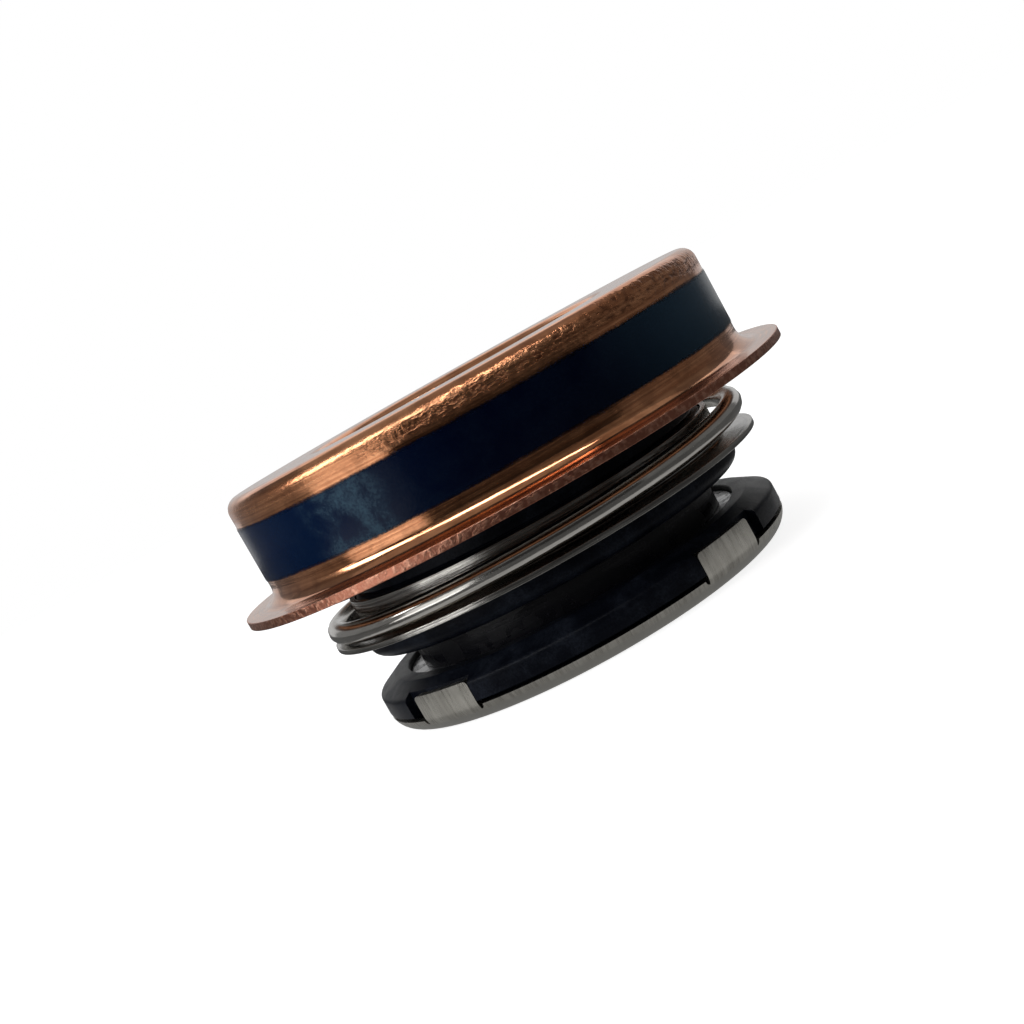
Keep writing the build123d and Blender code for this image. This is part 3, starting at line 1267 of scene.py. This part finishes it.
@dataclass(frozen=True)
class DriveTabs:
    """Where the four tabs of the sleeve stand, and what is cut beside them."""

    spread: float = 42.0
    width: float = 5.32
    corner: float = 0.3
    nick: float = 0.32
    open_gap: float = 1.4
    snug_gap: float = 0.05
    cut: float = 0.012
    edge_step: float = 0.003

    @property
    def centres(self) -> list[float]:
        """The middle of each tab, in degrees."""
        return [-self.spread, self.spread, 180 - self.spread, 180 + self.spread]

    @staticmethod
    def apart(angle: float, other: float) -> float:
        """How far an angle lies from another, from -180 to 180 degrees."""
        return (angle - other + 180) % 360 - 180

    def edge_height(self, angle: float, radius: float, rim: float, top: float) -> float:
        """The height of the sheet's cut edge at an angle.

        Args:
            angle: The angle in degrees.
            radius: The radius that arc lengths are measured at.
            rim: The height of the low rim between tabs.
            top: The height of the tabs.

        Returns:
            The height.
        """
        nearest = min(abs(self.apart(angle, centre)) for centre in self.centres)
        beyond = math.radians(nearest) * radius - self.width / 2
        if beyond <= 0:
            short = max(self.corner + beyond, 0)
            return top - self.corner + math.sqrt(self.corner**2 - min(short, self.corner) ** 2)
        if beyond < self.nick:
            return rim - math.sqrt(self.nick**2 - beyond**2)
        return rim

    def notch_share(self, angle: float, radius: float) -> float:
        """How much of a notch's depth is cut at an angle, from 0 to 1.

        Args:
            angle: The angle in degrees.
            radius: The radius that arc lengths are measured at.

        Returns:
            The share.
        """
        share = 0.0
        for index, centre in enumerate(self.centres):
            offset = math.radians(self.apart(angle, centre)) * radius
            low = self.open_gap if index % 2 == 0 else self.snug_gap
            high = self.snug_gap if index % 2 == 0 else self.open_gap
            inside = min(offset + self.width / 2 + low, self.width / 2 + high - offset)
            share = max(share, min(max(inside / self.cut, 0), 1))
        return share

    def angles(self, radius: float, count: int) -> list[float]:
        """Angles round the axis, closer together where an edge steps.

        Args:
            radius: The radius that arc lengths are measured at.
            count: How many even angles there are besides.

        Returns:
            The angles in rising order, from 0 to 360 degrees.
        """
        half = self.width / 2
        marks = [half - self.corner * (1 - math.cos(math.radians(turn))) for turn in range(0, 91, 10)]
        marks += [half + self.edge_step]
        marks += [half + self.nick * math.sin(math.radians(turn)) for turn in range(10, 91, 10)]
        for gap in (self.open_gap, self.snug_gap):
            marks += [half + gap - self.cut, half + gap]
        angles = set(even_angles(count))
        for centre in self.centres:
            for mark in marks:
                turn = math.degrees(mark / radius)
                angles.update(((centre + turn) % 360, (centre - turn) % 360))
        ordered = sorted(angles)
        return [a for a, b in zip(ordered, ordered[1:] + [360.0]) if b - a > 1e-4]


@dataclass(frozen=True)
class RunningSeat:
    """What turns with the shaft: the sleeve with its plate, the seat cup and the mating ring."""

    tabs: DriveTabs = field(default_factory=DriveTabs)
    outer: float = 15.46
    gauge: float = 0.6
    bore: float = 8.0
    lip_radius: float = 10.3
    bend: float = 1.0
    plate_corner: float = 1.5
    rim_height: float = 1.17
    tab_height: float = 2.93
    web: float = 0.6
    lip_wall: float = 0.9
    lip_height: float = 1.5
    rim_gap: float = 0.25
    crown: float = 0.35
    crease_drop: float = 0.75
    crown_slope: float = 1.5
    seat_round: float = 0.35
    seat_gap: float = 0.02
    floor_inset: float = 0.1
    ring_round: float = 0.2
    burnish_drop: float = 0.42

    def sleeve_outline(self) -> list[Point]:
        """The sleeve's section with its rim at the tabs' height all round.

        Returns:
            The section's points.
        """
        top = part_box("sleeve")[1].z / MM
        line = [
            Corner(self.lip_radius, top),
            Corner(self.bore, top, self.bend),
            Corner(self.bore, 0, self.bend),
            Corner(self.outer, 0, self.plate_corner),
            Corner(self.outer, self.tab_height),
        ]
        return outline(sheet(line, self.gauge, 0), 14)

    def cut_back(self, point: Point, limit: float) -> Point:
        """Slides a point of the rim down its face to the cut edge, and leaves other points.

        Args:
            point: The point of the full section.
            limit: The height of the cut edge.

        Returns:
            The point, no higher than the edge if it is on the rim.
        """
        radius, height = point
        centre = self.outer - self.plate_corner
        if radius < centre or height <= limit:
            return point
        if limit >= self.plate_corner:
            return radius, limit
        outside = radius > self.outer - self.gauge / 2
        reach = self.plate_corner if outside else self.plate_corner - self.gauge
        drop = self.plate_corner - limit
        return centre + math.sqrt(max(reach**2 - drop**2, 0)), limit

    def build_sleeve(self) -> Object:
        """Makes the one-piece sleeve.

        Returns:
            The piece.
        """
        points = self.sleeve_outline()

        def section(angle: float) -> list[Point]:
            """The section with as much rim as is left at the angle."""
            limit = self.tabs.edge_height(angle, self.outer, self.rim_height, self.tab_height)
            return [self.cut_back(point, limit) for point in points]

        return ring("drive_sleeve", section, self.tabs.angles(self.outer, 240), Shade.SHEET)

    def cup_outline(self) -> list[Point]:
        """The seat cup's section, away from its notches.

        Returns:
            The section's points.
        """
        hard = Reach.of("mating_ring")
        tube = self.bore + self.gauge + self.seat_gap
        inside = self.outer - self.gauge - self.seat_gap
        floor = self.gauge + self.seat_gap
        seat = self.gauge + self.web
        ring_outer = hard.radius + self.seat_gap
        ring_bore = self.bore + self.gauge + self.lip_wall - self.seat_gap
        crown = hard.high + self.crown
        crease = crown - self.crease_drop
        corners = [
            Corner(tube, floor, 0.5),
            Corner(inside - self.plate_corner + self.gauge - self.floor_inset, floor, 0.1),
            Corner(inside, self.rim_height + self.rim_gap, 0.02),
            Corner(self.outer, self.rim_height + self.rim_gap, 0.12),
            Corner(self.outer, crease, self.seat_round),
        ]
        for share in (0.25, 0.4, 0.55, 0.7):
            radius = self.outer - self.crown_slope * share
            corners.append(Corner(radius, crease + self.crease_drop * share))
        corners += [
            Corner(self.outer - self.crown_slope, crown, 0.3),
            Corner(ring_outer, crown, 0.1),
            Corner(ring_outer, seat),
            Corner(ring_bore, seat),
            Corner(ring_bore, seat + self.lip_height, 0.1),
            Corner(tube, seat + self.lip_height, 0.1),
        ]
        return outline(corners, 7)

    def build_cup(self) -> Object:
        """Makes the rubber seat cup with its four notches.

        Returns:
            The piece.
        """
        points = self.cup_outline()
        floor = self.outer - self.gauge - self.seat_gap

        def section(angle: float) -> list[Point]:
            """The section at an angle, cut back to the notch's floor.

            Args:
                angle: The angle in degrees.

            Returns:
                The section's points.
            """
            share = self.tabs.notch_share(angle, self.outer)
            limit = self.outer + share * (floor - self.outer)
            return [(min(radius, limit), height) for radius, height in points]

        return ring("rubber_seat_cup", section, self.tabs.angles(self.outer, 240), Shade.MOULDED)

    def build_mating_ring(self) -> Object:
        """Makes the hard ring under the carbon's face.

        Returns:
            The piece.
        """
        hard = Reach.of("mating_ring")
        bore = self.bore + self.gauge + self.lip_wall
        ends = [(bore, hard.low), (hard.radius, hard.low), (hard.radius, hard.high), (bore, hard.high)]
        corners = [Corner(radius, height, self.ring_round) for radius, height in ends]
        return lathe("hard_mating_ring", corners, Shade.SHEET)

    def make(self, effects: Effects) -> None:
        """Builds and dresses the running seat's pieces.

        Args:
            effects: The shared effects.
        """
        steel = SleeveFinish(bend_top=self.rim_height - self.burnish_drop)
        hard = HardFinish("lapped_ring", (0.03, 0.03, 0.034), (0.08, 0.08, 0.085), 0.22, 0.35)
        rubber = RubberFinish("seat_cup_rubber").build(effects)
        dress(self.build_sleeve(), steel.build(effects), ["sleeve"], Body.ROTOR)
        dress(self.build_cup(), rubber, ["seat_cup"], Body.ROTOR)
        dress(self.build_mating_ring(), hard.build(effects), ["mating_ring"], Body.ROTOR)


# Stage, light and camera


def looked_at(tree: Tree) -> NodeSocket:
    """Adds a mask that is one for the camera, mirror and glass rays, and nought for light.

    Args:
        tree: The tree to build in.

    Returns:
        The mask.
    """
    path = tree.add("ShaderNodeLightPath").outputs
    seen = tree.math("MAXIMUM", path["Is Camera Ray"], path["Is Glossy Ray"])
    return tree.math("MAXIMUM", seen, path["Is Transmission Ray"])


@dataclass(frozen=True)
class Card:
    """A bent card round the seal for metal to mirror, which only mirror rays meet."""

    name: str
    left: float
    right: float
    tone: float
    profile: tuple[Point, ...]
    climb: float = 0.0

    def make(self, panels: int = 24) -> None:
        """Builds the card, bent from flat panels, and its plain glow.

        Args:
            panels: How many panels there are.
        """
        points = []
        for step in range(panels + 1):
            angle = self.left + (self.right - self.left) * step / panels
            rise = self.climb * step / panels
            points += [spot(angle, radius, height + rise) for radius, height in self.profile]
        faces = quads(panels + 1, len(self.profile), closed=False)
        card = placed(self.name, new_mesh(self.name, points, faces))
        material = bpy.data.materials.new(self.name)
        material.use_nodes = True
        material.node_tree.nodes.clear()
        tree = Tree(material.node_tree)
        glow = tree.add("ShaderNodeEmission", {"Color": (self.tone, self.tone, self.tone, 1)})
        tree.add("ShaderNodeOutputMaterial", {"Surface": glow.outputs[0]})
        card.data.materials.append(material)
        for rays in ("camera", "diffuse", "transmission", "shadow"):
            setattr(card, "visible_" + rays, False)


# A dim ring just over the floor round the plate's edge: a painted shadow that mirror rays meet in place
# of the floor in the seal's shade.
PAINTED_SHADOW_RING = ((14.3, 0.03), (26.0, 0.03))
NEAR_FLOOR = ((16.5, 0.4), (25.0, 0.4))
FAR_FLOOR = ((25.0, 0.4), (210.0, 0.4))
FLOOR_PATCH = ((45.0, 0.8), (140.0, 0.8))
WALL = ((210.0, 0.4), (210.0, 85.0))
HIGH_WALL = ((210.0, 85.0), (210.0, 230.0))
WINDOW = ((200.0, 0.8), (200.0, 62.0))
SLANTED = ((150.0, 58.0), (145.0, 92.0))
CEILING = ((5.0, 330.0), (150.0, 330.0), (210.0, 230.0))


@dataclass(frozen=True)
class Studio:
    """The pale floor, the soft lamps and the cards that the metal mirrors."""

    floor_size: float = 1600.0
    floor_tone: float = 0.45
    floor_glow: float = 0.8
    world_light: float = 0.42
    cards: tuple[Card, ...] = (
        # Painted shadow: the floor's shade round the plate, for mirrors.
        Card("painted_shadow_card", -180.0, 180.0, 0.28, PAINTED_SHADOW_RING),
        Card("near_floor_card", -180.0, 180.0, 0.46, NEAR_FLOOR),
        Card("far_floor_card", -180.0, 180.0, 0.10, FAR_FLOOR),
        Card("lit_floor_card", -74.0, -36.0, 2.4, FLOOR_PATCH),
        Card("window_card", -74.0, -36.0, 1.3, WINDOW),
        Card("slanted_card", -84.0, 60.0, 10.0, SLANTED, climb=200.0),
        Card("dark_card", -62.0, 54.0, 0.035, WALL),
        Card("grey_card_left", -140.0, -62.0, 0.20, WALL),
        Card("grey_card_right", 54.0, 140.0, 0.16, WALL),
        Card("pale_card_back", 140.0, 220.0, 0.60, WALL),
        Card("high_wall_card", -140.0, 140.0, 0.15, HIGH_WALL),
        Card("ceiling_card", -180.0, 180.0, 0.34, CEILING),
    )

    def build_floor(self) -> None:
        """Makes the white floor."""
        half = self.floor_size * MM / 2
        corners = [(-half, -half, 0), (half, -half, 0), (half, half, 0), (-half, half, 0)]
        floor = placed("floor", new_mesh("floor", corners, [(0, 1, 2, 3)]))
        colours = {"base_color": (*[self.floor_tone] * 3, 1), "emission_color": (1, 1, 1, 1)}
        tree, shader, material = new_material("white_floor", roughness=0.9, **colours)
        tree.feed(shader.inputs["Emission Strength"], tree.times(looked_at(tree), self.floor_glow))
        floor.data.materials.append(material)

    def build_world(self) -> None:
        """Makes surroundings that are white where seen or mirrored and softer as light."""
        world = bpy.data.worlds.new("studio")
        bpy.context.scene.world = world
        world.use_nodes = True
        tree = Tree(world.node_tree)
        glow = world.node_tree.nodes["Background"]
        glow.inputs["Color"].default_value = (1, 1, 1, 1)
        tree.feed(glow.inputs["Strength"], tree.spread(looked_at(tree), self.world_light, 1.0))

    @staticmethod
    def build_lamp(name: str, place: Vector, size: Vector, power: float) -> None:
        """Adds one soft lamp that faces the seal and that metal doesn't mirror.

        Args:
            name: The lamp's name.
            place: Where it hangs, in millimetres.
            size: Its width and height in millimetres.
            power: Its power in watts.
        """
        lamp = bpy.data.lights.new(name, "AREA")
        lamp.shape = "RECTANGLE"
        lamp.size, lamp.size_y = size.x * MM, size.y * MM
        lamp.energy = power
        holder = placed(name, lamp)
        holder.location = place * MM
        holder.rotation_euler = (-place).to_track_quat("-Z", "Y").to_euler()
        holder.visible_glossy = False

    def make(self) -> None:
        """Builds the stage and its light."""
        self.build_floor()
        self.build_world()
        for card in self.cards:
            card.make()
        self.build_lamp("key", Vector((-148, -116, 66)), Vector((104, 130)), 0.31)
        self.build_lamp("top", Vector((60, 40, 260)), Vector((200, 200)), 0.30)


@dataclass(frozen=True)
class PhotoCamera:
    """The camera at the photo's viewing angle."""

    distance: float = 115.0
    height: float = 21.91
    turn: float = 2.86
    yaw: float = 0.62
    pitch: float = 6.21
    roll: float = 29.28
    focal: float = 58.4
    sensor: float = 36.0
    nearest: float = 5.0

    def make(self) -> None:
        """Places the camera."""
        data = bpy.data.cameras.new("photo_camera")
        data.lens = self.focal
        data.sensor_width = self.sensor
        data.clip_start = self.nearest * MM
        camera = placed("photo_camera", data)
        turn = math.radians(self.turn)
        reach = self.distance * MM
        camera.location = (reach * math.sin(turn), -reach * math.cos(turn), self.height * MM)
        level = Matrix.Rotation(turn + math.radians(self.yaw), 4, "Z")
        lean = Matrix.Rotation(math.radians(90 - self.pitch), 4, "X")
        roll = Matrix.Rotation(math.radians(-self.roll), 4, "Z")
        camera.rotation_euler = (level @ lean @ roll).to_euler()
        bpy.context.scene.camera = camera


def main() -> None:
    """Builds the stage and every piece in order."""
    logging.basicConfig(level=logging.INFO, format="%(message)s")
    bpy.context.scene.view_settings.view_transform = "Standard"
    PhotoCamera().make()
    Studio().make()
    effects = Effects()
    CaseShell().make(effects)
    CoilSpring().make(effects)
    SealHead().make(effects)
    RunningSeat().make(effects)


if __name__ == "__main__":
    main()
